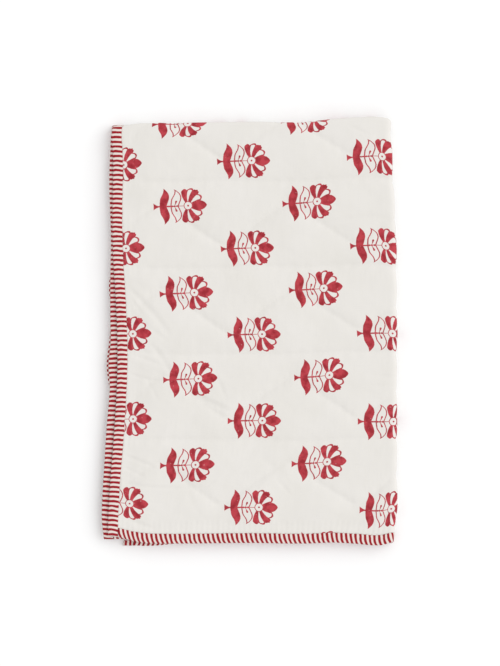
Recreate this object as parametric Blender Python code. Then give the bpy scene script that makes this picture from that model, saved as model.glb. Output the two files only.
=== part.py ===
"""A block-printed cot quilt, folded in four.

The quilt is one filled, quilted sheet with four strips of striped binding sewn over its
edges. It is modelled flat first, in the quilt's own coordinates: u across its width, v along
its length and h above its middle surface, towards the printed face. One function, place(),
then folds every point: in half along its length, so that a fold lies at the back, and in half
again across its width, so that a fold lies at the right. From the top, the four layers are
the front half's left part, the back half's left part, the back half's right part and the
front half's right part, and all the free edges lie at the left and at the front.
"""

from collections import namedtuple
from math import pi

import bmesh
import bpy
import numpy as np

MM = 0.001

# The quilt as it lies flat
QUILT_WIDTH = 795 * MM
QUILT_LENGTH = 1190 * MM
HALF_WIDTH = QUILT_WIDTH / 2
HALF_LENGTH = QUILT_LENGTH / 2
PUFF_THICKNESS = 5.0 * MM
SEWN_THICKNESS = 2.6 * MM
RIM_FADE = 40 * MM

# The quilting: straight lines across the width, and a zigzag between each two of them
LINE_PITCH = 122 * MM
FIRST_LINE = -84 * MM
LINES_PER_HALF = 5
ZIGZAG_PERIOD = 183.6 * MM
ZIGZAG_PEAK = -149.7 * MM
ZIGZAG_HEIGHT = 30 * MM

# The binding, a folded strip of cloth that grips the rim
BINDING_WIDTH = 13 * MM
BINDING_WALL = 0.75 * MM
BINDING_BEVEL = 0.9 * MM
FITTING_GAP = 0.3 * MM
BOUND = BINDING_WIDTH + FITTING_GAP

# The folded stack: the height of one layer where the two folds meet, and at the free corner
PITCH_AT_FOLDS = 6.4 * MM
PITCH_AT_EDGES = 5.6 * MM
WAVE_SHARE = 0.02
WAVE_LENGTH_X = 230 * MM
WAVE_LENGTH_Y = 310 * MM
SETTLED = 0.5 * MM
LOOP = PITCH_AT_FOLDS / 2
INNER_ALLOWANCE = pi / 2 * LOOP
OUTER_ALLOWANCE = pi / 2 * 3 * LOOP
SHEAR_REACH = 150 * MM

# The folds' axes, which put the middle of the stack's box at the origin
SIDE_FOLD_X = 196.52 * MM
BACK_FOLD_Y = 290.54 * MM

SideFold = namedtuple("SideFold", "down inset skew")
# down: distance in front of the back fold; inset: how far the right-hand fold is drawn in;
# skew: how far that fold lies off the quilt's middle line
SIDE_FOLD = (
    SideFold(down=0 * MM, inset=8.5 * MM, skew=-4.4 * MM),
    SideFold(down=30 * MM, inset=7.4 * MM, skew=-3.9 * MM),
    SideFold(down=60 * MM, inset=6.0 * MM, skew=-1.5 * MM),
    SideFold(down=90 * MM, inset=4.3 * MM, skew=1.2 * MM),
    SideFold(down=150 * MM, inset=1.6 * MM, skew=4.6 * MM),
    SideFold(down=185 * MM, inset=0.7 * MM, skew=4.5 * MM),
    SideFold(down=240 * MM, inset=0.0 * MM, skew=1.7 * MM),
    SideFold(down=345 * MM, inset=0.0 * MM, skew=-0.7 * MM),
    SideFold(down=390 * MM, inset=0.0 * MM, skew=1.2 * MM),
    SideFold(down=450 * MM, inset=0.0 * MM, skew=5.1 * MM),
    SideFold(down=510 * MM, inset=0.0 * MM, skew=9.8 * MM),
    SideFold(down=545 * MM, inset=0.6 * MM, skew=11.0 * MM),
    SideFold(down=580 * MM, inset=3.0 * MM, skew=9.4 * MM),
    SideFold(down=592 * MM, inset=4.5 * MM, skew=8.0 * MM),
)

EndLine = namedtuple("EndLine", "across back front")
# across: distance from the right-hand fold; back and front: how far the back fold and the
# front edges stand off their straight lines, to the back where positive
END_LINE = (
    EndLine(across=0 * MM, back=-3.5 * MM, front=4.5 * MM),
    EndLine(across=12 * MM, back=5.0 * MM, front=1.0 * MM),
    EndLine(across=24 * MM, back=7.6 * MM, front=-0.2 * MM),
    EndLine(across=45 * MM, back=7.2 * MM, front=0.6 * MM),
    EndLine(across=80 * MM, back=5.2 * MM, front=2.4 * MM),
    EndLine(across=115 * MM, back=1.6 * MM, front=1.2 * MM),
    EndLine(across=200 * MM, back=1.0 * MM, front=2.0 * MM),
    EndLine(across=300 * MM, back=-0.3 * MM, front=1.0 * MM),
    EndLine(across=370 * MM, back=-0.8 * MM, front=1.4 * MM),
    EndLine(across=398 * MM, back=-3.0 * MM, front=1.8 * MM),
)

Tug = namedtuple("Tug", "u v reach_u reach_v dx dy")
# Places where one layer lies off its neighbours: the middle and the reach of each on the flat
# quilt, and how far the cloth is moved there on the stack
TUGS = (
    Tug(u=-398 * MM, v=-595 * MM, reach_u=34 * MM, reach_v=90 * MM, dx=0 * MM, dy=10.8 * MM),
    Tug(u=-398 * MM, v=595 * MM, reach_u=60 * MM, reach_v=90 * MM, dx=0 * MM, dy=8.5 * MM),
    Tug(u=-398 * MM, v=602 * MM, reach_u=40 * MM, reach_v=22 * MM, dx=4.0 * MM, dy=0 * MM),
    Tug(u=-398 * MM, v=440 * MM, reach_u=80 * MM, reach_v=50 * MM, dx=-1.6 * MM, dy=0 * MM),
    Tug(u=-398 * MM, v=342 * MM, reach_u=50 * MM, reach_v=22 * MM, dx=-3.2 * MM, dy=0 * MM),
    Tug(u=-398 * MM, v=158 * MM, reach_u=150 * MM, reach_v=75 * MM, dx=7.3 * MM, dy=0 * MM),
    Tug(u=398 * MM, v=20 * MM, reach_u=150 * MM, reach_v=65 * MM, dx=10.5 * MM, dy=0 * MM),
    Tug(u=398 * MM, v=228 * MM, reach_u=60 * MM, reach_v=24 * MM, dx=-4.5 * MM, dy=0 * MM),
    Tug(u=398 * MM, v=345 * MM, reach_u=60 * MM, reach_v=32 * MM, dx=-4.5 * MM, dy=0 * MM),
    Tug(u=398 * MM, v=595 * MM, reach_u=50 * MM, reach_v=90 * MM, dx=3.0 * MM, dy=9.0 * MM),
    Tug(u=372 * MM, v=-595 * MM, reach_u=45 * MM, reach_v=80 * MM, dx=2.5 * MM, dy=-4.2 * MM),
    Tug(u=398 * MM, v=-595 * MM, reach_u=18 * MM, reach_v=50 * MM, dx=2.5 * MM, dy=4.0 * MM),
)

# How finely the solids are cut
BACK_FOLD_STEPS = 6
SIDE_FOLD_STEPS = 8
PUFF_SHOULDER = 0.24
COLUMNS_PER_ZIGZAG = 4
CLEAR_OF_FOLD = 4 * MM
CLEAR_OF_BINDING = 20 * MM
SHARP_ANGLE = pi / 4

CREAM_COTTON = (0.80, 0.78, 0.74, 1.0)
STRIPED_COTTON = (0.62, 0.25, 0.26, 1.0)
CLOTH_ROUGHNESS = 0.9


def smooth(share):
    """0 to 1 with level ends."""
    share = np.clip(share, 0, 1)
    return share * share * (3 - 2 * share)


def along(table, column, at):
    """A smooth curve through one column of a table, read at distances along its first column."""
    stops = np.array([row[0] for row in table])
    values = np.array([getattr(row, column) for row in table])
    slopes = np.gradient(values, stops)
    i = np.clip(np.searchsorted(stops, at) - 1, 0, len(stops) - 2)
    span = stops[i + 1] - stops[i]
    t = np.clip((at - stops[i]) / span, 0, 1)
    start = (1 + 2 * t) * (1 - t) ** 2 * values[i] + t * (1 - t) ** 2 * span * slopes[i]
    end = t**2 * (3 - 2 * t) * values[i + 1] - t**2 * (1 - t) * span * slopes[i + 1]
    return start + end


def side_allowance(v):
    """Half the cloth that the right-hand fold takes up: more in the outer layers."""
    outer_share = smooth((SHEAR_REACH - v) / (2 * SHEAR_REACH))
    return INNER_ALLOWANCE + (OUTER_ALLOWANCE - INNER_ALLOWANCE) * outer_share


def layer_pitch(inward, frontward):
    """The height of one layer, by the distances from the right-hand fold and the back fold."""
    loft = (1 - smooth(inward / HALF_WIDTH)) * (1 - smooth(frontward / HALF_LENGTH))
    wave = np.sin(2 * pi * inward / WAVE_LENGTH_X) * np.sin(2 * pi * frontward / WAVE_LENGTH_Y)
    pitch = PITCH_AT_EDGES + (PITCH_AT_FOLDS - PITCH_AT_EDGES) * loft
    return pitch * (1 + WAVE_SHARE * wave)


def place(u, v, h):
    """Folds points of the flat quilt: u across, v along, h above the middle surface."""
    u, v, h = np.broadcast_arrays(u, v, h)

    # The back fold turns the back half under the front half
    turn = np.clip(v / LOOP, -pi / 2, pi / 2)
    frontward = np.maximum(np.abs(v) - pi / 2 * LOOP, 0)
    skin_height = -h * np.sin(turn)
    radius = 2 * LOOP - LOOP * np.sin(turn) + skin_height

    # The right-hand fold turns the right part under the left part
    across = u - along(SIDE_FOLD, "skew", frontward)
    allowance = side_allowance(v)
    angle = pi / 2 * np.clip(across / allowance, -1, 1)
    inward = np.maximum(np.abs(across) - allowance, 0)
    x = SIDE_FOLD_X - along(SIDE_FOLD, "inset", frontward) - inward + radius * np.cos(angle)

    # The layers are numbered upwards from 0, and the lowest lies on the surface
    layer = 1.5 - (1 - np.sin(turn) / 2) * np.sin(angle)
    ground = PUFF_THICKNESS / 2 - SETTLED
    z = ground + layer * layer_pitch(inward, frontward) - skin_height * np.sin(angle)

    share = frontward / HALF_LENGTH
    y = BACK_FOLD_Y - frontward + (LOOP + h) * np.cos(turn)
    y = y + along(END_LINE, "back", np.abs(u)) * (1 - share)
    y = y + along(END_LINE, "front", np.abs(u)) * share
    for tug in TUGS:
        pull = np.exp(-(((u - tug.u) / tug.reach_u) ** 2) - ((v - tug.v) / tug.reach_v) ** 2)
        x = x + tug.dx * pull
        y = y + tug.dy * pull
    return np.stack([x, y, np.maximum(z, 0)], axis=-1)


def zigzag(u):
    """The zigzag's height about the middle of its band, from -1 to 1."""
    return np.abs(2 * (((u - ZIGZAG_PEAK) / ZIGZAG_PERIOD) % 1) - 1) * 2 - 1


def half_thickness(u, v, crown):
    """Half the quilt's thickness: crown is 0 on a sewn line and 1 on a puff."""
    from_rim = np.minimum(HALF_WIDTH - np.abs(u), HALF_LENGTH - np.abs(v))
    fade = smooth((from_rim - BOUND) / RIM_FADE)
    return (SEWN_THICKNESS + (PUFF_THICKNESS - SEWN_THICKNESS) * crown * fade) / 2


def sewn_lines(u):
    """The v of each line of quilting that is crossed at one u, from the front edge on."""
    reach = HALF_LENGTH - BOUND - CLEAR_OF_BINDING
    short_of_fold = -INNER_ALLOWANCE - CLEAR_OF_FOLD
    lines = []
    for k in range(-LINES_PER_HALF, LINES_PER_HALF + 1):
        straight = FIRST_LINE + k * LINE_PITCH
        if abs(straight) < reach:
            lines.append(straight)
        middle = straight + LINE_PITCH / 2
        if abs(middle) + ZIGZAG_HEIGHT < reach:
            turning = middle + ZIGZAG_HEIGHT * zigzag(u)
            over_fold = abs(middle) < ZIGZAG_HEIGHT
            lines.append(min(turning, short_of_fold) if over_fold else turning)
    return lines


def rows_at(u):
    """The v and the crown of each grid row at one u: rows follow the quilting and the fold."""
    u = np.clip(u, BOUND - HALF_WIDTH, HALF_WIDTH - BOUND)
    stops = [BOUND - HALF_LENGTH, *sewn_lines(u), HALF_LENGTH - BOUND]
    rows = [(-HALF_LENGTH, 0), (stops[0], 0)]
    for start, end in zip(stops, stops[1:]):
        puff_start = start
        if start < 0 < end:
            fold = np.linspace(-INNER_ALLOWANCE, INNER_ALLOWANCE, BACK_FOLD_STEPS + 1)
            rows += [(v, 1) for v in fold]
            puff_start = INNER_ALLOWANCE
        else:
            rows.append((start + (end - start) * PUFF_SHOULDER, 1))
        rows += [(end - (end - puff_start) * PUFF_SHOULDER, 1), (end, 0)]
    return [*rows, (HALF_LENGTH, 0)]


def columns_at(v):
    """The u of each grid column at one v: columns are close together round the side fold."""
    skew = along(SIDE_FOLD, "skew", max(abs(v) - INNER_ALLOWANCE, 0))
    fold = skew + side_allowance(v) * np.linspace(-1, 1, SIDE_FOLD_STEPS + 1)
    step = ZIGZAG_PERIOD / COLUMNS_PER_ZIGZAG
    count = int(QUILT_WIDTH / step)
    turns = [ZIGZAG_PEAK + step * k for k in range(-count, count)]
    reach = HALF_WIDTH - BOUND - step / 3
    flat = [u for u in turns if OUTER_ALLOWANCE + step / 2 < abs(u) < reach]
    left = [u for u in flat if u < 0]
    right = [u for u in flat if u > 0]
    edge = HALF_WIDTH - BOUND
    return [-HALF_WIDTH, -edge, *left, *fold, *right, edge, HALF_WIDTH]


def solid(name, points, faces, colour):
    """One named object with a mesh and a cotton material of its own."""
    mesh = bpy.data.meshes.new(name)
    mesh.from_pydata(points, [], faces)
    shape = bmesh.new()
    shape.from_mesh(mesh)
    bmesh.ops.recalc_face_normals(shape, faces=shape.faces)
    shape.to_mesh(mesh)
    shape.free()
    mesh.shade_smooth()
    mesh.set_sharp_from_angle(angle=SHARP_ANGLE)
    material = bpy.data.materials.new(name + "_cotton")
    material.use_nodes = True
    shader = material.node_tree.nodes["Principled BSDF"]
    shader.inputs["Base Color"].default_value = colour
    shader.inputs["Roughness"].default_value = CLOTH_ROUGHNESS
    shader.inputs["Metallic"].default_value = 0
    mesh.materials.append(material)
    thing = bpy.data.objects.new(name, mesh)
    bpy.context.collection.objects.link(thing)
    return thing


def make_body():
    """The filled and quilted sheet: a skin of grid points on each side, joined round the rim."""
    grid = []
    for i, (v, crown) in enumerate(rows_at(0)):
        row = []
        for j, u in enumerate(columns_at(v)):
            v_here = rows_at(u)[i][0]
            row.append((columns_at(v_here)[j], v_here, crown))
        grid.append(row)
    u, v, crown = np.moveaxis(np.array(grid), -1, 0)
    half = half_thickness(u, v, crown)
    skins = [place(u, v, half), place(u, v, -half)]
    points = np.concatenate([skin.reshape(-1, 3) for skin in skins])

    rows, columns = u.shape
    face_side = np.arange(rows * columns).reshape(rows, columns)
    back_side = face_side + rows * columns
    faces = []
    for i in range(rows - 1):
        for j in range(columns - 1):
            corners = (i, j), (i, j + 1), (i + 1, j + 1), (i + 1, j)
            faces.append([face_side[corner] for corner in corners])
            faces.append([back_side[corner] for corner in reversed(corners)])
    front_edge = [(0, j) for j in range(columns)]
    right_edge = [(i, columns - 1) for i in range(1, rows)]
    back_edge = [(rows - 1, j) for j in range(columns - 2, -1, -1)]
    left_edge = [(i, 0) for i in range(rows - 2, -1, -1)]
    rim = front_edge + right_edge + back_edge + left_edge
    for here, there in zip(rim, rim[1:]):
        faces.append([face_side[there], face_side[here], back_side[here], back_side[there]])
    return solid("quilted_body", points, faces, CREAM_COTTON)


# The binding's section, as distance out from the rim and height: its outer skin runs from the
# upper hem round the rim to the lower hem, and its inner skin runs back
HEM = -BINDING_WIDTH
SEAT = SEWN_THICKNESS / 2 + FITTING_GAP
SKIN = SEAT + BINDING_WALL
NOSE = FITTING_GAP + BINDING_WALL
SECTION = (
    (HEM, SKIN),
    (NOSE - BINDING_BEVEL, SKIN),
    (NOSE, SKIN - BINDING_BEVEL),
    (NOSE, BINDING_BEVEL - SKIN),
    (NOSE - BINDING_BEVEL, -SKIN),
    (HEM, -SKIN),
    (HEM, -SEAT),
    (FITTING_GAP, -SEAT),
    (FITTING_GAP, SEAT),
    (HEM, SEAT),
)
OUTER_POINTS = 6
CLOSED_END = ((0, 1, 2, 3, 4, 5), (9, 8, 7, 6), (5, 6, 9, 0))
OPEN_END = ((0, 1, 8, 9), (1, 2, 8), (2, 3, 7, 8), (3, 4, 7), (4, 5, 6, 7))


def make_binding(name, to_flat, stations, end_faces):
    """A strip that grips the rim: a ring of section points at each station along the edge.

    A station holds a place for its outer points and one for its inner points, and to_flat()
    gives the flat quilt's u and v, from the distance out from the rim and such a place.
    """
    points = []
    for outer, inner in stations:
        for k, (out, height) in enumerate(SECTION):
            u, v = to_flat(out, outer if k < OUTER_POINTS else inner)
            points.append(place(u, v, height))
    size = len(SECTION)
    faces = []
    for i in range(len(stations) - 1):
        for k in range(size):
            a, b = i * size + k, i * size + (k + 1) % size
            faces.append([a, b, b + size, a + size])
    last = (len(stations) - 1) * size
    for face in end_faces:
        faces.append(list(reversed(face)))
        faces.append([last + k for k in face])
    return solid(name, points, faces, STRIPED_COTTON)


def make_side_bindings():
    """The two long strips, which run round the back fold and are closed over the corners."""
    end = (HALF_LENGTH + NOSE, HALF_LENGTH + FITTING_GAP)
    start = (-end[0], -end[1])
    for name, side in (("binding_upper_side", -1), ("binding_lower_side", 1)):

        def to_flat(out, v, side=side):
            return side * (HALF_WIDTH + out), v

        between = [(v, v) for v, crown in rows_at(side * HALF_WIDTH)[1:-1]]
        make_binding(name, to_flat, [start, *between, end], CLOSED_END)


def make_end_bindings():
    """The two short strips, which run round the side fold and butt against the long ones."""
    for name, side in (("binding_outer_end", -1), ("binding_inner_end", 1)):

        def to_flat(out, column, side=side):
            v = side * (HALF_LENGTH + out)
            return columns_at(v)[column], v

        last = len(columns_at(side * HALF_LENGTH)) - 1
        make_binding(name, to_flat, [(column, column) for column in range(1, last)], OPEN_END)


for leftover in list(bpy.data.objects):
    bpy.data.objects.remove(leftover)

make_body()
make_side_bindings()
make_end_bindings()
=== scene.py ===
"""The looks of a hand-quilted, block-printed cot quilt that lies folded in four.

The quilt is modelled flat, in its own coordinates, and then folded: u across its width, v along
its length and h above its middle surface, towards the printed face. It is folded in half along
its length, with the fold at the back, and in half again across its width, with the fold at the
right. From the top, the layers are the front half's left part, the back half's left part, the
back half's right part and the front half's right part.
"""

from collections import namedtuple
from math import cos, pi, radians, sin

import bmesh
import bpy
import numpy as np
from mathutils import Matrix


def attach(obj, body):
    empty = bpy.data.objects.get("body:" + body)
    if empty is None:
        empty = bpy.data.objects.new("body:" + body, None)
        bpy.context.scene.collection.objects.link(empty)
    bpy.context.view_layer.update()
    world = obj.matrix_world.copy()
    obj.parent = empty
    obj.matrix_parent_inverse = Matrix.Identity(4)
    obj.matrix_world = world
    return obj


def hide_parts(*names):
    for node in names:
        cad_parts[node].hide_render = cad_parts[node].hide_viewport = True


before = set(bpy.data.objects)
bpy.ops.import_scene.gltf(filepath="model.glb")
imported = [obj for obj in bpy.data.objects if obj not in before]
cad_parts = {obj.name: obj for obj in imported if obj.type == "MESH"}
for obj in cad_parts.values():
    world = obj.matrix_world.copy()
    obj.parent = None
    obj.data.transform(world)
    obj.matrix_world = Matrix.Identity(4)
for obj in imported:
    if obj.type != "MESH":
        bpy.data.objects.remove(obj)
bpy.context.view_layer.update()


# The quilted body: two layers of hand-printed plain-weave cotton with a thin cotton filling
# between them. Straight lines of running stitch across the width, and a zigzag between each two
# of them, hold the layers together and draw the cloth into soft puffs with small puckers.

MM = 0.001
QUILT_WIDTH = 795 * MM
QUILT_LENGTH = 1190 * MM
HALF_WIDTH = QUILT_WIDTH / 2
HALF_LENGTH = QUILT_LENGTH / 2
PUFF_THICKNESS = 5.0 * MM
SEWN_THICKNESS = 2.6 * MM
RIM_FADE = 40 * MM
BOUND = 13.3 * MM

# The folded stack: the height of one layer where the two folds meet, and at the free corner
PITCH_AT_FOLDS = 6.4 * MM
PITCH_AT_EDGES = 5.6 * MM
WAVE_SHARE = 0.02
WAVE_LENGTH_X = 230 * MM
WAVE_LENGTH_Y = 310 * MM
SETTLED = 0.5 * MM
LOOP = PITCH_AT_FOLDS / 2
INNER_ALLOWANCE = pi / 2 * LOOP
OUTER_ALLOWANCE = pi / 2 * 3 * LOOP
SHEAR_REACH = 150 * MM
SQUARENESS = 3.6
MIDDLE_OF_LAYERS = 1.5
SIDE_FOLD_X = 196.52 * MM
BACK_FOLD_Y = 290.54 * MM


def rows_in_mm(kind, *rows, unscaled=()):
    """A table with named columns, from rows in millimetres; an unscaled column is no length."""
    scales = [1 if name in unscaled else MM for name in kind._fields]
    return [kind(*(value * scale for value, scale in zip(row, scales))) for row in rows]


SideFold = namedtuple("SideFold", "down inset skew")
# down: distance in front of the back fold; inset: how far the right-hand fold is drawn in;
# skew: how far that fold lies off the quilt's middle line
SIDE_FOLD = rows_in_mm(
    SideFold,
    (0, 8.5, -4.4),
    (30, 7.4, -3.9),
    (60, 6, -1.5),
    (90, 4.3, 1.2),
    (150, 1.6, 4.6),
    (185, 0.7, 4.5),
    (240, 0, 1.7),
    (345, 0, -0.7),
    (390, 0, 1.2),
    (450, 0, 5.1),
    (510, 0, 9.8),
    (545, 0.6, 11),
    (580, 3, 9.4),
    (592, 4.5, 8),
)

EndLine = namedtuple("EndLine", "across back front")
# across: distance from the right-hand fold; back and front: how far the back fold and the
# front edges stand off their straight lines, to the back where positive
END_LINE = rows_in_mm(
    EndLine,
    (0, -3.5, 4.5),
    (12, 5, 1),
    (24, 7.6, -0.2),
    (45, 7.2, 0.6),
    (80, 5.2, 2.4),
    (115, 1.6, 1.2),
    (200, 1, 2),
    (300, -0.3, 1),
    (370, -0.8, 1.4),
    (398, -3, 1.8),
)

Tug = namedtuple("Tug", "u v reach_u reach_v dx dy")
# Places where one layer lies off its neighbours: the middle and the reach of each on the flat
# quilt, and how far the cloth is moved there on the stack
TUGS = rows_in_mm(
    Tug,
    (-398, -595, 34, 66, 0, 10.2),
    (-398, 595, 60, 90, 0, 8.5),
    (-398, 602, 40, 22, 4, 0),
    (-398, 440, 80, 50, -1.6, 0),
    (-398, 342, 50, 22, -3.2, 0),
    (-398, 158, 150, 75, 7.3, 0),
    (398, 20, 150, 65, 10.5, 0),
    (398, 228, 60, 24, -4.5, 0),
    (398, 345, 60, 32, -4.5, 0),
    (398, 595, 50, 90, 3, 9),
    (372, -595, 45, 80, 2.5, -4.2),
    (398, -595, 18, 50, 2.5, 4),
    (-398, 0, 22, 25, 0, -3),
    (0, 0, 14, 30, 1.5, 3.5),
    (402, -596, 20, 35, -1, -6.5),
    (350, -596, 35, 35, 0, -1.8),
    (-398, 598, 30, 30, 0, -3.5),
    (-400, -60, 45, 40, 1.2, -1.8),
    (-250, 0, 130, 13, 6.5, 0),
    (-52, -543, 42, 38, 7.8, 0),
    (-8, -597, 24, 26, 0, -2),
    (-385, -540, 30, 30, 0, -2.4),
)


def smooth(share):
    """0 to 1 with level ends."""
    share = np.clip(share, 0, 1)
    return share * share * (3 - 2 * share)


def along(table, column, at):
    """A smooth curve through one column of a table, read at distances along its first column."""
    stops = np.array([row[0] for row in table])
    values = np.array([getattr(row, column) for row in table])
    slopes = np.gradient(values, stops)
    i = np.clip(np.searchsorted(stops, at) - 1, 0, len(stops) - 2)
    span = stops[i + 1] - stops[i]
    t = np.clip((at - stops[i]) / span, 0, 1)
    start = (1 + 2 * t) * (1 - t) ** 2 * values[i] + t * (1 - t) ** 2 * span * slopes[i]
    end = t**2 * (3 - 2 * t) * values[i + 1] - t**2 * (1 - t) * span * slopes[i + 1]
    return start + end


def place(u, v, h):
    """Folds points of the flat quilt: u across, v along, h above the middle surface."""
    u, v, h = np.broadcast_arrays(u, v, h)

    # The back fold turns the back half under the front half
    turn = np.clip(v / LOOP, -pi / 2, pi / 2)
    frontward = np.maximum(np.abs(v) - pi / 2 * LOOP, 0)
    skin_height = -h * np.sin(turn)
    radius = 2 * LOOP - LOOP * np.sin(turn) + skin_height

    # The right-hand fold turns the right part under the left part, and takes up more cloth in
    # the outer layers
    outer_share = smooth((SHEAR_REACH - v) / (2 * SHEAR_REACH))
    allowance = INNER_ALLOWANCE + (OUTER_ALLOWANCE - INNER_ALLOWANCE) * outer_share
    across = u - along(SIDE_FOLD, "skew", frontward)
    angle = pi / 2 * np.clip(across / allowance, -1, 1)
    inward = np.maximum(np.abs(across) - allowance, 0)
    # Its section is a rounded square, because the layers press each other flat close up to it
    powers = np.abs(np.cos(angle)) ** SQUARENESS + np.abs(np.sin(angle)) ** SQUARENESS
    square = powers ** (-1 / SQUARENESS)
    ahead, rise = np.cos(angle) * square, np.sin(angle) * square
    x = SIDE_FOLD_X - along(SIDE_FOLD, "inset", frontward) - inward + radius * ahead

    # The layers are numbered upwards from 0, and the lowest lies on the surface
    loft = (1 - smooth(inward / HALF_WIDTH)) * (1 - smooth(frontward / HALF_LENGTH))
    wave = np.sin(2 * pi * inward / WAVE_LENGTH_X) * np.sin(2 * pi * frontward / WAVE_LENGTH_Y)
    pitch = (PITCH_AT_EDGES + (PITCH_AT_FOLDS - PITCH_AT_EDGES) * loft) * (1 + WAVE_SHARE * wave)
    layer = MIDDLE_OF_LAYERS - (1 - np.sin(turn) / 2) * rise
    z = PUFF_THICKNESS / 2 - SETTLED + layer * pitch - skin_height * rise

    share = frontward / HALF_LENGTH
    y = BACK_FOLD_Y - frontward + (LOOP + h) * np.cos(turn)
    y = y + along(END_LINE, "back", np.abs(u)) * (1 - share)
    y = y + along(END_LINE, "front", np.abs(u)) * share
    for tug in TUGS:
        pull = np.exp(-(((u - tug.u) / tug.reach_u) ** 2) - ((v - tug.v) / tug.reach_v) ** 2)
        x = x + tug.dx * pull
        y = y + tug.dy * pull
    return np.stack([x, y, np.maximum(z, 0)], axis=-1)


# The quilting lines, sewn by hand: none is quite straight, and the zigzag's corners are rounded
LINE_PITCH = 122 * MM
FIRST_LINE = -84 * MM
ZIGZAG_PERIOD = 183.6 * MM
ZIGZAG_PEAK = -149.7 * MM
ZIGZAG_HEIGHT = 30 * MM
CORNER_SHARPNESS = 0.985
STITCH_PITCH = 7.5 * MM
WANDER = 0.9 * MM
WANDER_LENGTH = 330 * MM
SHORT_WANDER = 0.6
# How much further on each line's wander starts than its neighbour's, in radians
STRAIGHT_SHIFT = 1.7
SHORT_SHIFT = 2.9
ZIGZAG_SHIFT = 2.3
ZIGZAG_START = 1
# How far each line's stitches lie on from its neighbour's, as a share of their pitch
STITCH_STAGGER = 0.7
LINE_CLEAR_OF_BINDING = 6 * MM
LINE_NUMBERS = range(-5, 6)


def straight_line(u, number):
    """The v of one straight line of quilting at each u."""
    wander = np.sin(2 * pi * u / WANDER_LENGTH + STRAIGHT_SHIFT * number)
    wander += SHORT_WANDER * np.sin(5 * pi * u / WANDER_LENGTH + SHORT_SHIFT * number)
    return FIRST_LINE + number * LINE_PITCH + WANDER * wander


def zigzag_line(u, number):
    """The v of the zigzag that lies behind one straight line, at each u."""
    swing = np.cos(2 * pi * (u - ZIGZAG_PEAK) / ZIGZAG_PERIOD)
    rounded = np.arcsin(CORNER_SHARPNESS * swing) / np.arcsin(CORNER_SHARPNESS)
    wander = np.sin(2 * pi * u / WANDER_LENGTH + ZIGZAG_SHIFT * number + ZIGZAG_START)
    return FIRST_LINE + (number + 0.5) * LINE_PITCH + ZIGZAG_HEIGHT * rounded + WANDER * wander


QUILTING_LINES = [(shape, number) for number in LINE_NUMBERS for shape in (straight_line, zigzag_line)]

# What the quilting and the filling do to the printed face
PUFF_REACH = 7 * MM
PUFF_ROUNDNESS = 0.85
# How much higher the filling stands on the top, where nothing lies on it
FILLING_RISE = 1.0 * MM
PUCKER_HEIGHT = 0.7 * MM
PUCKER_REACH = 5.5 * MM
LONG_PUCKER = 0.5
LONG_PUCKER_PITCH = 2.7 * STITCH_PITCH
PINCH = 2.6 * MM

Ripple = namedtuple("Ripple", "length height seed")
# The cloth's own unevenness, as soft waves of about one length that run every way
RIPPLES = rows_in_mm(
    Ripple,
    (95, 0.28, 3),
    (38, 0.11, 5),
    (17, 0.05, 8),
    unscaled=("seed",),
)
WAVES_PER_RIPPLE = 14
SHORTEST_RIPPLE = 0.7
RIPPLE_SPREAD = 0.7
RIPPLE_FADE = RIM_FADE / 3

Crease = namedtuple("Crease", "u v turn length width depth bow")
# The main creases of the top layer, each a soft trough with raised sides: its middle on the flat
# quilt, its direction in degrees from +u, its size, and how far its middle bows sideways
CREASES = rows_in_mm(
    Crease,
    (-357, -337, -19, 58, 4, 0.91, 1),
    (-357, -360, -12, 54, 3.2, 0.85, -3),
    (-336, -337, -56, 58, 5, 0.85, 2),
    (-348, -378, -60, 34, 3, 0.45, 0),
    (-267, -393, -28, 66, 5, 1.23, -2),
    (-251, -375, -65, 40, 4, 0.52, 0),
    (-358, -262, -48, 96, 6, 1.1, 3),
    (-378, -247, -58, 52, 3.5, 0.78, 0),
    (-352, -290, -38, 60, 4, 0.52, -1),
    (-366, -478, -20, 56, 3.2, 0.85, 1),
    (-371, -493, -23, 44, 2.8, 0.72, 0),
    (-336, -512, -4, 118, 3, 0.78, -4),
    (-382, -462, -20, 28, 2.6, 0.42, 0),
    (-344, -537, 0, 26, 2.6, 0.42, 0),
    (-346, -549, -14, 24, 2.6, 0.39, 0),
    (-351, -567, -20, 76, 5, 0.98, -4),
    (-274, -544, -55, 50, 6.5, 0.42, -3),
    (-260, -513, 40, 18, 2.6, 0.49, 0),
    (-210, -486, 40, 64, 9, -0.39, 0),
    (-174, -488, -48, 66, 8.5, 0.39, 2),
    (-154, -515, -45, 30, 3.5, 0.55, 0),
    (-217, -500, 20, 20, 2.6, 0.42, 0),
    (-171, -574, 25, 20, 2.6, 0.52, 0),
    (-301, -575, 30, 18, 2.6, 0.52, 0),
    (-58, -144, 5, 96, 5, 0.59, 3),
    (-50, -18, -25, 28, 3.5, 0.55, 0),
    (-24, -361, -6, 36, 3, 0.42, 0),
    (-24, -375, 0, 36, 3, 0.42, 0),
    unscaled=("turn",),
)


def clear_of_rim(u, v, fade):
    """0 at the binding to 1 where the cloth is free of it."""
    from_rim = np.minimum(HALF_WIDTH - np.abs(u), HALF_LENGTH - np.abs(v))
    return smooth((from_rim - BOUND) / fade)


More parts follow.
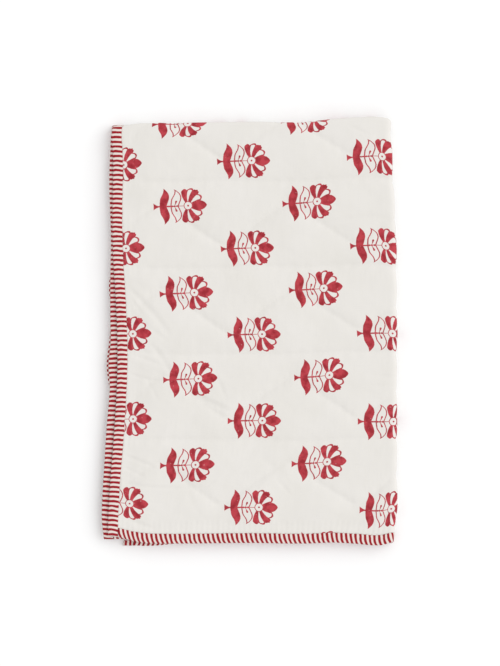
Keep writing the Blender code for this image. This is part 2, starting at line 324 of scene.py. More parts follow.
def puffs(u, v):
    """How full the quilt is at each point, from 0 on a sewn line to 1, and the puckers there."""
    from_line = np.full(u.shape, LINE_PITCH)
    puckers = np.zeros(u.shape)
    for shape, number in QUILTING_LINES:
        lengthening = np.sqrt(1 + np.gradient(shape(u[0], number), u[0]) ** 2)
        distance = np.abs(v - shape(u, number)) / lengthening
        run = u * lengthening + STITCH_STAGGER * number * STITCH_PITCH
        beat = np.cos(2 * pi * run / STITCH_PITCH)
        bumps = beat + LONG_PUCKER * np.cos(2 * pi * run / LONG_PUCKER_PITCH)
        puckers += bumps * np.exp(-((distance / PUCKER_REACH) ** 2)) * distance / PUCKER_REACH
        pinched = distance - PINCH * (1 + beat) / 2
        from_line = np.minimum(from_line, np.maximum(pinched, 0))
    fullness = 1 - np.exp(-((from_line / PUFF_REACH) ** PUFF_ROUNDNESS))
    return fullness * clear_of_rim(u, v, RIM_FADE), PUCKER_HEIGHT * puckers


def unevenness(u, v):
    """The ripples and creases of the printed face, over the front half of the quilt."""
    height = np.zeros(u.shape)
    for ripple in RIPPLES:
        draw = np.random.default_rng(ripple.seed)
        for direction, stretch, start in draw.random((WAVES_PER_RIPPLE, 3)):
            length = ripple.length * (SHORTEST_RIPPLE + RIPPLE_SPREAD * stretch)
            way = 2 * pi * direction
            phase = 2 * pi * ((u * cos(way) + v * sin(way)) / length + start)
            height += ripple.height * np.sin(phase) / np.sqrt(WAVES_PER_RIPPLE / 2)
    for crease in CREASES:
        ahead, aside = cos(radians(crease.turn)), sin(radians(crease.turn))
        run = ((u - crease.u) * ahead + (v - crease.v) * aside) / (crease.length / 2)
        off = (v - crease.v) * ahead - (u - crease.u) * aside - crease.bow * (1 - run**2)
        trough = (1 - (off / crease.width) ** 2) * np.exp(-((off / crease.width) ** 2))
        height -= crease.depth * trough * np.exp(-(run**4))
    return height * clear_of_rim(u, v, RIPPLE_FADE)


FINE_STEP = 2.1 * MM
FOLD_STEP = 0.9 * MM
SIDE_FOLD_STEP = 1.6 * MM
UNDERSIDE_STEP = 9 * MM
INSIDE_STEP = 12 * MM
BACK_FOLD_ZONE = 9 * MM
SIDE_FOLD_ZONE = 32 * MM
FRONT_FADE = 2 * BACK_FOLD_ZONE
BACKING_STRIDE = 4


def stations(start, *runs):
    """Places along a line: each run gives where it ends and its largest step."""
    places = [start]
    for end, step in runs:
        count = int(np.ceil((end - places[-1]) / step))
        places += list(np.linspace(places[-1], end, count + 1)[1:])
    return np.array(places)


def half_thickness(fullness):
    """Half the quilt's thickness, where it is as full as this, from 0 to 1."""
    return (SEWN_THICKNESS + (PUFF_THICKNESS - SEWN_THICKNESS) * fullness) / 2


def printed_height(u, v):
    """The height of the printed face above the middle surface."""
    fullness, puckers = puffs(u, v)
    front = smooth(-v / FRONT_FADE)
    return half_thickness(fullness) + front * (FILLING_RISE * fullness + puckers + unevenness(u, v))


# The two print passes: the printer works across the cloth with one block, and then goes over it
# again for the flowers between, so each pass has a drift of its own
PrintPass = namedtuple("PrintPass", "name at_u at_v repeat_u lean_u twist_u lean_v twist_v")
# at_u and at_v: where one flower lies; repeat_u: from flower to flower along a row; lean: how far
# the columns and the rows slant; twist: how fast they turn across the cloth, for each metre
PRINT_PASSES = (
    PrintPass("first_print", -203.3 * MM, -55.1 * MM, 182.2 * MM, 0.0336, 0.0127, -0.0063, -0.0494),
    PrintPass("second_print", -294.7 * MM, -111.0 * MM, 181.0 * MM, 0.0464, 0.0558, -0.0296, -0.0396),
)
REPEAT_V = 123.3 * MM
# The folds take up more of the printed face than of the quilt's middle surface
FOLD_TAKES = 9 * MM
FOLD_TAKES_REACH = 8 * MM
SIDE_FOLD_TAKES = 15 * MM
SIDE_FOLD_SLACK = 4.5 * MM
SIDE_FOLD_REACH = 45 * MM
SIDE_FOLD_POWER = 5


def print_place(u, v, which):
    """Where points of the quilt lie in one pass of the print, from the middle of a flower."""
    twisted = np.minimum(u, 0) * v
    taken = FOLD_TAKES * np.exp(np.minimum(v, 0) / FOLD_TAKES_REACH)
    to_fold = np.clip((u - along(SIDE_FOLD, "skew", np.abs(v))) / SIDE_FOLD_REACH + 1, 0, 1)
    taken_aside = SIDE_FOLD_TAKES * to_fold**SIDE_FOLD_POWER - SIDE_FOLD_SLACK * to_fold
    across = u - which.at_u + which.lean_u * v + which.twist_u * twisted + taken_aside
    down = v - which.at_v + which.lean_v * u + which.twist_v * twisted + taken
    return np.stack([across, down], axis=-1)


def mesh_object(name, points, faces, maps, materials, face_materials=None):
    """A smooth mesh with its UV maps, which hold a pair for each point."""
    mesh = bpy.data.meshes.new(name)
    mesh.from_pydata(points, [], faces)
    corner_points = np.zeros(len(mesh.loops), dtype=np.int32)
    mesh.loops.foreach_get("vertex_index", corner_points)
    for map_name, pairs in maps.items():
        layer = mesh.uv_layers.new(name=map_name)
        layer.data.foreach_set("uv", pairs[corner_points].astype(np.float32).ravel())
    for material in materials:
        mesh.materials.append(material)
    if face_materials is not None:
        mesh.polygons.foreach_set("material_index", face_materials)
    shape = bmesh.new()
    shape.from_mesh(mesh)
    bmesh.ops.recalc_face_normals(shape, faces=shape.faces)
    shape.to_mesh(mesh)
    shape.free()
    mesh.shade_smooth()
    thing = bpy.data.objects.new(name, mesh)
    bpy.context.collection.objects.link(thing)
    return thing


def add(tree, kind, *sources, points=None, **settings):
    """Adds a node to a tree: each source is a value, a socket, or a node's first output.

    The sources are the node's first inputs, or one dict of inputs by name or number. A shader
    node's kind is given without the words ShaderNode, and another node's in full.
    """
    node = tree.nodes.new(kind if "Node" in kind else "ShaderNode" + kind)
    for name, value in settings.items():
        setattr(node, name, value)
    by_key = sources[0] if sources and isinstance(sources[0], dict) else dict(enumerate(sources))
    for key, source in by_key.items():
        if isinstance(source, bpy.types.Node):
            source = source.outputs[0]
        if isinstance(source, bpy.types.NodeSocket):
            tree.links.new(source, node.inputs[key])
        else:
            node.inputs[key].default_value = source
    if points:
        curve = node.mapping.curves[0]
        curve.points[0].location = points[0]
        curve.points[-1].location = points[-1]
        for point in points[1:-1]:
            curve.points.new(*point)
        node.mapping.update()
    return node


def colour(hex_code):
    """An sRGB hex colour as linear red, green, blue and alpha."""
    parts = [int(hex_code[i : i + 2], 16) / 255 for i in (0, 2, 4)]
    linear = [c / 12.92 if c <= 0.04045 else ((c + 0.055) / 1.055) ** 2.4 for c in parts]
    return (*linear, 1.0)


# The printed flower, a common one of the block printer's trade, in millimetres from the middle
# of the flower: x towards its tip, y to its side and "off" the distance from its stem
FlowerPetal = namedtuple("FlowerPetal", "angle bend reach half_width lobes line")
# angle: at the flower's middle, in degrees from the tip; bend: how far it curls towards the tip;
# line: the width of its outline, or 0 where it is solid
PETALS = (
    FlowerPetal(angle=46, bend=10, reach=22.3, half_width=5.3, lobes=0, line=2.5),
    FlowerPetal(angle=70, bend=13, reach=25.9, half_width=5.3, lobes=0.45, line=0),
    FlowerPetal(angle=92.5, bend=15, reach=24.3, half_width=4.2, lobes=0, line=2.5),
    FlowerPetal(angle=115.5, bend=14.5, reach=24.6, half_width=4.2, lobes=0, line=0),
)
PETAL_START = 4.5
PETAL_START_WIDTH = 1.3
# A petal is widest at this share of its reach, and falls away to both sides of its tip
PETAL_WIDEST = 0.9
PETAL_TIP_FALL = 0.13
PETAL_CORNER = 1.2
LOBES_BEAT = 1.8
RING_RADIUS = 5.75
RING_LINE = 1.15
DOT_RADIUS = 1.35
MAIN_PETAL_START = 5.2
MAIN_PETAL_TIP = 26.4
MAIN_PETAL_HALF_WIDTH = 7.1
MAIN_PETAL_SHAPE = (
    (0, 0.52), (0.19, 0.85), (0.4, 1), (0.56, 0.97), (0.72, 0.85), (0.86, 0.58), (0.96, 0.26), (1, 0),
)
LEAF_LENGTH = 25.9
LEAF_HALF_WIDTH = 6.2
LEAF_MIDDLE = -35.5
LEAF_SWAY = 4.4
# The leaf's half width and the sway of its middle, from the stem to the tip, as shares of the most
LEAF_SHAPE = ((0, 0.8), (0.26, 0.95), (0.42, 1), (0.57, 0.86), (0.71, 0.63), (0.84, 0.36), (1, 0))
LEAF_CURVE = (
    (0, 0), (0.1, 0.16), (0.26, 0.39), (0.42, 0.64), (0.57, 0.89), (0.71, 1), (0.84, 0.84), (1, 0.3),
)
LINE_LEAF_FORWARD = 16.3
LINE_LEAF_SCALE = 1.12
LINE_LEAF_LINE = 1.65
FOOT_START = -48.6
FOOT_END = -41
FOOT_HALF_WIDTH = 4.8
FOOT_FLARE = 1.6
FOOT_OVERLAP = 1
STEM_HALF_WIDTH = 1.05
FINE_STEM_HALF_WIDTH = 0.45
STEM_THINS_FROM = -24
STEM_THINS_TO = -15
STEM_END = -6
BUD_START = (-18.6, 1.2, 0)
BUD_ANGLE = 69
BUD_REACH = 7.2
BUD_HALF_WIDTH = 1.5
# The buds are drawn with the petals' shape, at a third of their size
BUD_SCALE = 3
KNOTS = (-22.1, -18.9, -15.5)
KNOT_SIZE = 1.35


def new_group(name, *inputs):
    """An empty group for how far inside a shape a point lies, and what it is given."""
    tree = bpy.data.node_groups.new(name, "ShaderNodeTree")
    for socket in inputs:
        tree.interface.new_socket(socket, in_out="INPUT", socket_type="NodeSocketFloat")
    tree.interface.new_socket("Inside", in_out="OUTPUT", socket_type="NodeSocketFloat")
    return tree, add(tree, "NodeGroupInput").outputs


def combined(tree, operation, parts):
    """Several parts brought together by one operation, such as the lowest or highest of them."""
    whole, *others = parts
    for part in others:
        whole = add(tree, "Math", whole, part, operation=operation)
    return whole


def outlined(tree, inside, line):
    """Only a line along the edge of a shape."""
    from_edge = add(tree, "Math", inside, operation="ABSOLUTE")
    return add(tree, "Math", line / 2, from_edge, operation="SUBTRACT")


def between(tree, x, start, end):
    """How far inside two ends a point lies."""
    from_middle = add(tree, "Math", x, (start + end) / 2, operation="SUBTRACT")
    return outlined(tree, from_middle, end - start)


def petal_group():
    """A petal, from a point's distance and angle about the flower."""
    tree, given = new_group("petal", "Radius", "Turn", "Angle", "Bend", "Reach", "Half Width", "Lobes")
    share = add(tree, "Math", given["Radius"], given["Reach"], operation="DIVIDE")
    bend = combined(tree, "MULTIPLY", (share, share, given["Bend"]))
    middle = add(tree, "Math", given["Angle"], bend, operation="SUBTRACT")
    turned = add(tree, "Math", given["Turn"], middle, operation="SUBTRACT")
    turned = add(tree, "Math", turned, operation="RADIANS")
    off = add(tree, "Math", turned, given["Radius"], operation="MULTIPLY")
    off = add(tree, "Math", off, operation="ABSOLUTE")
    widest = add(tree, "Math", given["Reach"], PETAL_WIDEST, operation="MULTIPLY")
    spread = {"Value": given["Radius"], "From Min": PETAL_START, "From Max": widest}
    spread.update({"To Min": PETAL_START_WIDTH, "To Max": given["Half Width"]})
    room = add(tree, "MapRange", spread)
    side = add(tree, "Math", room, off, operation="SUBTRACT")
    tip = add(tree, "Math", given["Reach"], given["Radius"], operation="SUBTRACT")
    round_off = add(tree, "Math", off, off, operation="MULTIPLY")
    tip = add(tree, "Math", round_off, -PETAL_TIP_FALL, tip, operation="MULTIPLY_ADD")
    lobe = add(tree, "Math", off, LOBES_BEAT, operation="MULTIPLY")
    lobe = add(tree, "Math", lobe, operation="COSINE")
    tip = add(tree, "Math", lobe, given["Lobes"], tip, operation="MULTIPLY_ADD")
    inside = add(tree, "Math", side, tip, PETAL_CORNER, operation="SMOOTH_MIN")
    add(tree, "NodeGroupOutput", {"Inside": inside})
    return tree


def leaf_group():
    """An S-curved leaf, from a point's place along and off the stem."""
    tree, given = new_group("leaf", "Along", "Off")
    share = add(tree, "Math", given["Off"], LEAF_LENGTH, operation="DIVIDE")
    curve = add(tree, "FloatCurve", {"Value": share}, points=LEAF_CURVE)
    middle = add(tree, "Math", curve, LEAF_SWAY, LEAF_MIDDLE, operation="MULTIPLY_ADD")
    shape = add(tree, "FloatCurve", {"Value": share}, points=LEAF_SHAPE)
    room = add(tree, "Math", shape, LEAF_HALF_WIDTH, operation="MULTIPLY")
    off_middle = add(tree, "Math", given["Along"], middle, operation="SUBTRACT")
    off_middle = add(tree, "Math", off_middle, operation="ABSOLUTE")
    inside = add(tree, "Math", room, off_middle, operation="SUBTRACT")
    short = add(tree, "Math", LEAF_LENGTH, given["Off"], operation="SUBTRACT")
    add(tree, "NodeGroupOutput", {"Inside": combined(tree, "MINIMUM", (inside, short))})
    return tree


def flower_group():
    """The whole printed flower, in millimetres, from a point's x and y."""
    tree, given = new_group("block_flower", "X", "Y")
    x = given["X"]
    off = add(tree, "Math", given["Y"], operation="ABSOLUTE")
    spot = add(tree, "CombineXYZ", {"X": x, "Y": off})
    radius = add(tree, "VectorMath", spot, operation="LENGTH").outputs["Value"]
    turn = add(tree, "Math", off, x, operation="ARCTAN2")
    turn = add(tree, "Math", turn, operation="DEGREES")

    # The petals stop at the ring round the flower's dot
    petal = petal_group()
    petals = []
    for shape in PETALS:
        sizes = {"Angle": shape.angle, "Bend": shape.bend, "Reach": shape.reach}
        sizes.update({"Half Width": shape.half_width, "Lobes": shape.lobes})
        part = add(tree, "Group", {"Radius": radius, "Turn": turn, **sizes}, node_tree=petal)
        petals.append(outlined(tree, part, shape.line) if shape.line else part)
    past_ring = add(tree, "Math", radius, RING_RADIUS, operation="SUBTRACT")
    petals = combined(tree, "MINIMUM", (combined(tree, "MAXIMUM", petals), past_ring))
    ring = outlined(tree, past_ring, RING_LINE)
    dot = add(tree, "Math", DOT_RADIUS, radius, operation="SUBTRACT")

    # The solid petal at the tip
    share = add(tree, "Math", x, MAIN_PETAL_START, operation="SUBTRACT")
    share = add(tree, "Math", share, MAIN_PETAL_TIP - MAIN_PETAL_START, operation="DIVIDE")
    room = add(tree, "FloatCurve", {"Value": share}, points=MAIN_PETAL_SHAPE)
    room = add(tree, "Math", room, MAIN_PETAL_HALF_WIDTH, operation="MULTIPLY")
    main = add(tree, "Math", room, off, operation="SUBTRACT")
    ends = between(tree, x, MAIN_PETAL_START, MAIN_PETAL_TIP)
    main = combined(tree, "MINIMUM", (main, ends, past_ring))

    # The solid leaves, and the outlined leaves in front of them
    leaf = leaf_group()
    solid_leaf = add(tree, "Group", {"Along": x, "Off": off}, node_tree=leaf)
    behind = add(tree, "Math", x, LINE_LEAF_FORWARD, operation="SUBTRACT")
    wider = add(tree, "Math", off, LINE_LEAF_SCALE, operation="MULTIPLY")
    line_leaf = add(tree, "Group", {"Along": behind, "Off": wider}, node_tree=leaf)
    line_leaf = outlined(tree, line_leaf, LINE_LEAF_LINE)

    # The foot, which flares from the stem, and the stem, which is finer near the flower
    flare = {"Value": x, "From Min": FOOT_END, "From Max": FOOT_START, "To Min": 0, "To Max": 1}
    flare = add(tree, "MapRange", flare)
    flare = add(tree, "Math", flare, FOOT_FLARE, operation="POWER")
    taper = FOOT_HALF_WIDTH - STEM_HALF_WIDTH
    flare = add(tree, "Math", flare, taper, STEM_HALF_WIDTH, operation="MULTIPLY_ADD")
    foot = add(tree, "Math", flare, off, operation="SUBTRACT")
    heel = add(tree, "Math", x, FOOT_START, operation="SUBTRACT")
    toe = add(tree, "Math", FOOT_END + FOOT_OVERLAP, x, operation="SUBTRACT")
    foot = combined(tree, "MINIMUM", (foot, heel, toe))
    thin = {"Value": x, "From Min": STEM_THINS_FROM, "From Max": STEM_THINS_TO}
    thin.update({"To Min": STEM_HALF_WIDTH, "To Max": FINE_STEM_HALF_WIDTH})
    thin = add(tree, "MapRange", thin)
    stem = add(tree, "Math", thin, off, operation="SUBTRACT")
    stem = combined(tree, "MINIMUM", (stem, between(tree, x, FOOT_END, STEM_END)))

    # The buds beside the stem, and the knots on it
    from_bud = add(tree, "VectorMath", spot, BUD_START, operation="SUBTRACT")
    bud_parts = add(tree, "SeparateXYZ", from_bud).outputs
    bud_turn = add(tree, "Math", bud_parts["Y"], bud_parts["X"], operation="ARCTAN2")
    bud_turn = add(tree, "Math", bud_turn, operation="DEGREES")
    bud_radius = add(tree, "VectorMath", from_bud, operation="LENGTH").outputs["Value"]
    bud_radius = add(tree, "Math", bud_radius, BUD_SCALE, operation="MULTIPLY")
    sizes = {"Angle": BUD_ANGLE, "Reach": BUD_REACH * BUD_SCALE, "Half Width": BUD_HALF_WIDTH * BUD_SCALE}
    bud = add(tree, "Group", {"Radius": bud_radius, "Turn": bud_turn, **sizes}, node_tree=petal)
    bud = add(tree, "Math", bud, 1 / BUD_SCALE, operation="MULTIPLY")
    parts = [petals, ring, dot, main, solid_leaf, line_leaf, foot, stem, bud]
    for knot_x in KNOTS:
        knot = add(tree, "VectorMath", spot, (knot_x, 0, 0), operation="DISTANCE").outputs["Value"]
        parts.append(add(tree, "Math", KNOT_SIZE, knot, operation="SUBTRACT"))
    add(tree, "NodeGroupOutput", {"Inside": combined(tree, "MAXIMUM", parts)})
    return tree


CLOTH_WHITE = "D9D6D2"
CLOTH_SHADE = "D4D1CB"
CLOUD_SIZE = 60 * MM
INK_RED = "B03B44"
INK_DEEP = "90242D"
INK_THIN = "C4656B"
# The real threads, three to the millimetre, are too fine to show, so the weave is drawn as the
# slubs of every sixth thread or so
SLUB_PITCH = 2.1 * MM
SLUB_LENGTH = 34 * MM
SLUB_HEIGHT = 0.06 * MM
SLUB_RANGE = {"From Min": 0.6, "From Max": 0.86}
FLUFF_PITCH = 1.1 * MM
FLUFF_SHARE = 0.3
SHEEN = 0.04
WASHED_FINISH = {"Roughness": 0.92, "Specular IOR Level": 0.25, "Sheen Roughness": 0.6}
# The ink's edge, in millimetres: how soft it is, and how far and how finely it wobbles
INK_EDGE = 0.22
INK_WOBBLE = 0.35
CREEP_SIZE = 1.6 * MM
FLECK_SIZE = 3.2 * MM
FLECK_RANGE = {"From Min": 0.76, "From Max": 0.86, "To Min": 1, "To Max": 0.6}
MOTTLE_SIZE = 9 * MM
MOTTLE_RANGE = {"From Min": 0.34, "From Max": 0.66}
INK_RIM_RANGE = {"From Min": 0.1, "From Max": 1.1, "To Min": 0.4, "To Max": 0}
# Each stamp's turn in radians and shift in millimetres; the spread makes every stamp's luck differ
FLOWER_TURN = -0.021
FLOWER_TURN_LUCK = 0.012
FLOWER_SHIFT = 0.7
LUCK_SPREAD = (53, 71, 0)


def new_material(name):
    """An empty material, and its tree."""
    material = bpy.data.materials.new(name)
    material.use_nodes = True
    material.node_tree.nodes.clear()
    return material, material.node_tree


def finish_cotton(tree, surface, finish):
    """Gives a cotton its soft finish, over a bump of fluff and, here and there, a thick thread."""
    on_cloth = add(tree, "UVMap", uv_map="cloth")
    fluff = {"Vector": on_cloth, "Scale": 1 / FLUFF_PITCH, "Detail": 2}
    height = add(tree, "TexNoise", fluff, noise_dimensions="2D")
    height = add(tree, "Math", height, FLUFF_SHARE, operation="MULTIPLY")
    for across, down in ((SLUB_PITCH, SLUB_LENGTH), (SLUB_LENGTH, SLUB_PITCH)):
        by = (1 / across, 1 / down, 0)
        stretched = add(tree, "VectorMath", on_cloth, by, operation="MULTIPLY")
        slubs = {"Vector": stretched, "Scale": 1, "Detail": 1}
        slubs = add(tree, "TexNoise", slubs, noise_dimensions="2D")
        slubs = add(tree, "MapRange", {"Value": slubs, **SLUB_RANGE})
        height = add(tree, "Math", height, slubs, operation="ADD")
    bump = add(tree, "Bump", {"Height": height, "Distance": SLUB_HEIGHT, "Strength": 1})
    shader = {"Base Color": surface, "Sheen Weight": SHEEN, "Normal": bump, **finish}
    add(tree, "OutputMaterial", {"Surface": add(tree, "BsdfPrincipled", shader)})


def undyed_ground(tree, on_cloth):
    """The off-white of washed cotton, in faint clouds."""
    clouds = {"Vector": on_cloth, "Scale": 1 / CLOUD_SIZE, "Detail": 3}
    clouds = add(tree, "TexNoise", clouds, noise_dimensions="2D")
    shades = {"Factor": clouds, 6: colour(CLOTH_SHADE), 7: colour(CLOTH_WHITE)}
    return add(tree, "Mix", shades, data_type="RGBA").outputs[2]


def printed_cotton():
    """Plain-weave cotton, washed soft, with a hand-stamped red print that sinks into the cloth.

    It is matt, a little fluffy and uneven, and the ink is mottled where the block pressed less.
    """
    material, tree = new_material("washed_plain_weave_cotton_block_printed")

    # Each pass gives a place from the middle of its nearest flower, and the nearer row wins
    flowers = []
    for which in PRINT_PASSES:
        half_repeat = (which.repeat_u / 2, REPEAT_V / 2, 0)
        repeat = (which.repeat_u, REPEAT_V, 1)
        place_on = add(tree, "UVMap", uv_map=which.name)
        moved = add(tree, "VectorMath", place_on, half_repeat, operation="ADD")
        middle = add(tree, "VectorMath", moved, repeat, operation="SNAP")
        local = add(tree, "VectorMath", place_on, middle, operation="SUBTRACT")
        from_row = add(tree, "SeparateXYZ", local).outputs["Y"]
        from_row = add(tree, "Math", from_row, operation="ABSOLUTE")
        flowers.append((middle, local, from_row))
    (middle_1, local_1, from_1), (middle_2, local_2, from_2) = flowers
    second = add(tree, "Math", from_2, from_1, operation="LESS_THAN")
    local = {"Factor": second, 4: local_1, 5: local_2}
    local = add(tree, "Mix", local, data_type="VECTOR").outputs[1]
    number = {"Factor": second, 4: middle_1, 5: middle_2}
    number = add(tree, "Mix", number, data_type="VECTOR").outputs[1]
    number = add(tree, "VectorMath", number, LUCK_SPREAD, operation="MULTIPLY")

    # Every stamp lies a little off its place and turned
    luck = add(tree, "TexWhiteNoise", {"Vector": number}, noise_dimensions="3D").outputs["Color"]
    luck = add(tree, "VectorMath", luck, (0.5, 0.5, 0.5), operation="SUBTRACT")
    off_place = add(tree, "VectorMath", {0: luck, "Scale": FLOWER_SHIFT * 2}, operation="SCALE")
    local = add(tree, "VectorMath", {0: local, "Scale": 1 / MM}, operation="SCALE")
    local = add(tree, "VectorMath", local, off_place, operation="ADD")
    turn = add(tree, "SeparateXYZ", luck).outputs["Z"]
    turn = add(tree, "Math", turn, FLOWER_TURN_LUCK * 2, FLOWER_TURN, operation="MULTIPLY_ADD")
    local = add(tree, "VectorRotate", {"Vector": local, "Angle": turn}, rotation_type="Z_AXIS")
    spot = add(tree, "SeparateXYZ", local).outputs
    flower = add(tree, "Group", {"X": spot["X"], "Y": spot["Y"]}, node_tree=flower_group())

    # Ink creeps along the threads, so its edge wobbles; it is thin in small flecks
    on_cloth = add(tree, "UVMap", uv_map="cloth")
    patches = []
    for size, detail in ((CREEP_SIZE, 2), (FLECK_SIZE, 1), (MOTTLE_SIZE, 2)):
        patch = {"Vector": on_cloth, "Scale": 1 / size, "Detail": detail}
        patches.append(add(tree, "TexNoise", patch, noise_dimensions="2D"))
    creep, flecks, mottle = patches
    creep = add(tree, "Math", creep, 0.5, operation="SUBTRACT")
    edge = add(tree, "Math", creep, INK_WOBBLE * 2, flower, operation="MULTIPLY_ADD")
    ink = {"Value": edge, "From Min": -INK_EDGE, "From Max": INK_EDGE}
    ink = add(tree, "MapRange", ink, interpolation_type="SMOOTHSTEP")
    flecks = add(tree, "MapRange", {"Value": flecks, **FLECK_RANGE})
    ink = add(tree, "Math", ink, flecks, operation="MULTIPLY")

    # The ink is deeper in places, and thinner along its rim
    mottle = add(tree, "MapRange", {"Value": mottle, **MOTTLE_RANGE})
    red = {"Factor": mottle, 6: colour(INK_DEEP), 7: colour(INK_RED)}
    red = add(tree, "Mix", red, data_type="RGBA").outputs[2]
    rim = add(tree, "MapRange", {"Value": edge, **INK_RIM_RANGE})
    red = add(tree, "Mix", {"Factor": rim, 6: red, 7: colour(INK_THIN)}, data_type="RGBA").outputs[2]
    surface = {"Factor": ink, 6: undyed_ground(tree, on_cloth), 7: red}
    surface = add(tree, "Mix", surface, data_type="RGBA").outputs[2]
    finish_cotton(tree, surface, WASHED_FINISH)
    return material


def backing_cotton():
    """The backing, the same washed cotton without print: matt, soft and slightly uneven."""
    material, tree = new_material("washed_plain_weave_cotton_undyed")
    ground = undyed_ground(tree, add(tree, "UVMap", uv_map="cloth"))
    finish_cotton(tree, ground, WASHED_FINISH)
    return material


def make_quilted_body():
    """The printed face as a fine grid and the backing as a coarser one, joined round the rim."""
    top = (-SIDE_FOLD_ZONE, FINE_STEP)
    side_fold = (SIDE_FOLD_ZONE, SIDE_FOLD_STEP)
    columns = stations(-HALF_WIDTH, top, side_fold, (HALF_WIDTH, UNDERSIDE_STEP))
    front = (-BACK_FOLD_ZONE, FINE_STEP)
    back_fold = (BACK_FOLD_ZONE, FOLD_STEP)
    rows = stations(-HALF_LENGTH, front, back_fold, (HALF_LENGTH, INSIDE_STEP))
    u, v = np.meshgrid(columns, rows)
    face_side = np.arange(u.size).reshape(u.shape)
    face_points = place(u, v, printed_height(u, v)).reshape(-1, 3)

    # The backing keeps every fourth row and column of the printed face's grid
    few_columns = sorted({*range(0, len(columns), BACKING_STRIDE), len(columns) - 1})
    few_rows = sorted({*range(0, len(rows), BACKING_STRIDE), len(rows) - 1})
    back_u, back_v = np.meshgrid(columns[few_columns], rows[few_rows])
    fullness = puffs(back_u, back_v)[0]
    back_points = place(back_u, back_v, -half_thickness(fullness)).reshape(-1, 3)
    back_side = np.arange(back_u.size).reshape(back_u.shape) + u.size

    corners = [face_side[:-1, :-1], face_side[:-1, 1:], face_side[1:, 1:], face_side[1:, :-1]]
    face_quads = np.stack(corners, axis=-1).reshape(-1, 4)
    corners = [back_side[:-1, :-1], back_side[1:, :-1], back_side[1:, 1:], back_side[:-1, 1:]]
    back_quads = np.stack(corners, axis=-1).reshape(-1, 4)

    # Round the rim, each step of the backing meets all the steps of the printed face beside it
    rim = []
    for face, back, few in ((face_side, back_side, few_columns), (face_side.T, back_side.T, few_rows)):
        for edge in (0, -1):
            for i, (first, last) in enumerate(zip(few, few[1:])):
                run = face[edge, first : last + 1]
                rim.append([*run.tolist(), int(back[edge, i + 1]), int(back[edge, i])])

    all_u = np.concatenate([u.ravel(), back_u.ravel()])
    all_v = np.concatenate([v.ravel(), back_v.ravel()])
    maps = {"cloth": np.stack([all_u, all_v], axis=-1)}
    for which in PRINT_PASSES:
        maps[which.name] = print_place(all_u, all_v, which)
    backing = np.zeros(len(face_quads) + len(back_quads) + len(rim), dtype=np.int32)
    backing[len(face_quads) :] = 1
    return mesh_object(
        "quilt",
        np.concatenate([face_points, back_points]),
        face_quads.tolist() + back_quads.tolist() + rim,
        maps,
        [printed_cotton(), backing_cotton()],
        backing,
    )


quilt = make_quilted_body()
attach(quilt, "root")
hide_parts("quilted_body")


# The quilting thread: off-white cotton, sewn by hand in running stitch, with stitches of about
# 5 mm that sink into the cloth at both ends and gaps of 2 to 3 mm between them.

# The thread's off-white is drawn darker than the cloth. This is painted shade, so the quilting lines
# darken as if the stitches lay in shaded grooves.
THREAD_OFF_WHITE_WITH_PAINTED_SHADE = "D0CABF"
THREAD_WIDTH = 0.5 * MM
STITCH_LENGTH = 4.9 * MM
STITCH_BOW = 0.55 * MM
STITCH_SINK = 0.25 * MM
SHORTEST_STITCH = 0.85
LONGEST_STITCH = 1.12
TWIST_SIZE = 0.6 * MM
TWIST_HEIGHT = 0.1 * MM
TWIST_STRENGTH = 0.6
THREAD_FINISH = {"Roughness": 0.75, "Sheen Weight": 0.2}
STITCH_STEPS = 4
THREAD_SIDES = 5
STITCH_SEED = 4
WALK_STEP = 0.5 * MM


def thread_cotton():
    """Twisted cotton thread: matt, with a slight sheen, and mottled at the size of its twist."""
    material, tree = new_material("twisted_cotton_thread")
    where = add(tree, "TexCoord").outputs["Object"]
    twist = add(tree, "TexNoise", {"Vector": where, "Scale": 1 / TWIST_SIZE, "Detail": 1})
    # The thread's colour carries painted shade of the stitch grooves, mottled by its twist
    tone = {"Factor": twist, 6: colour(CLOTH_SHADE), 7: colour(THREAD_OFF_WHITE_WITH_PAINTED_SHADE)}
    tone = add(tree, "Mix", tone, data_type="RGBA").outputs[2]
    bump = add(tree, "Bump", {"Height": twist, "Distance": TWIST_HEIGHT, "Strength": TWIST_STRENGTH})
    finish = {"Base Color": tone, "Normal": bump, **THREAD_FINISH}
    add(tree, "OutputMaterial", {"Surface": add(tree, "BsdfPrincipled", finish)})
    return material


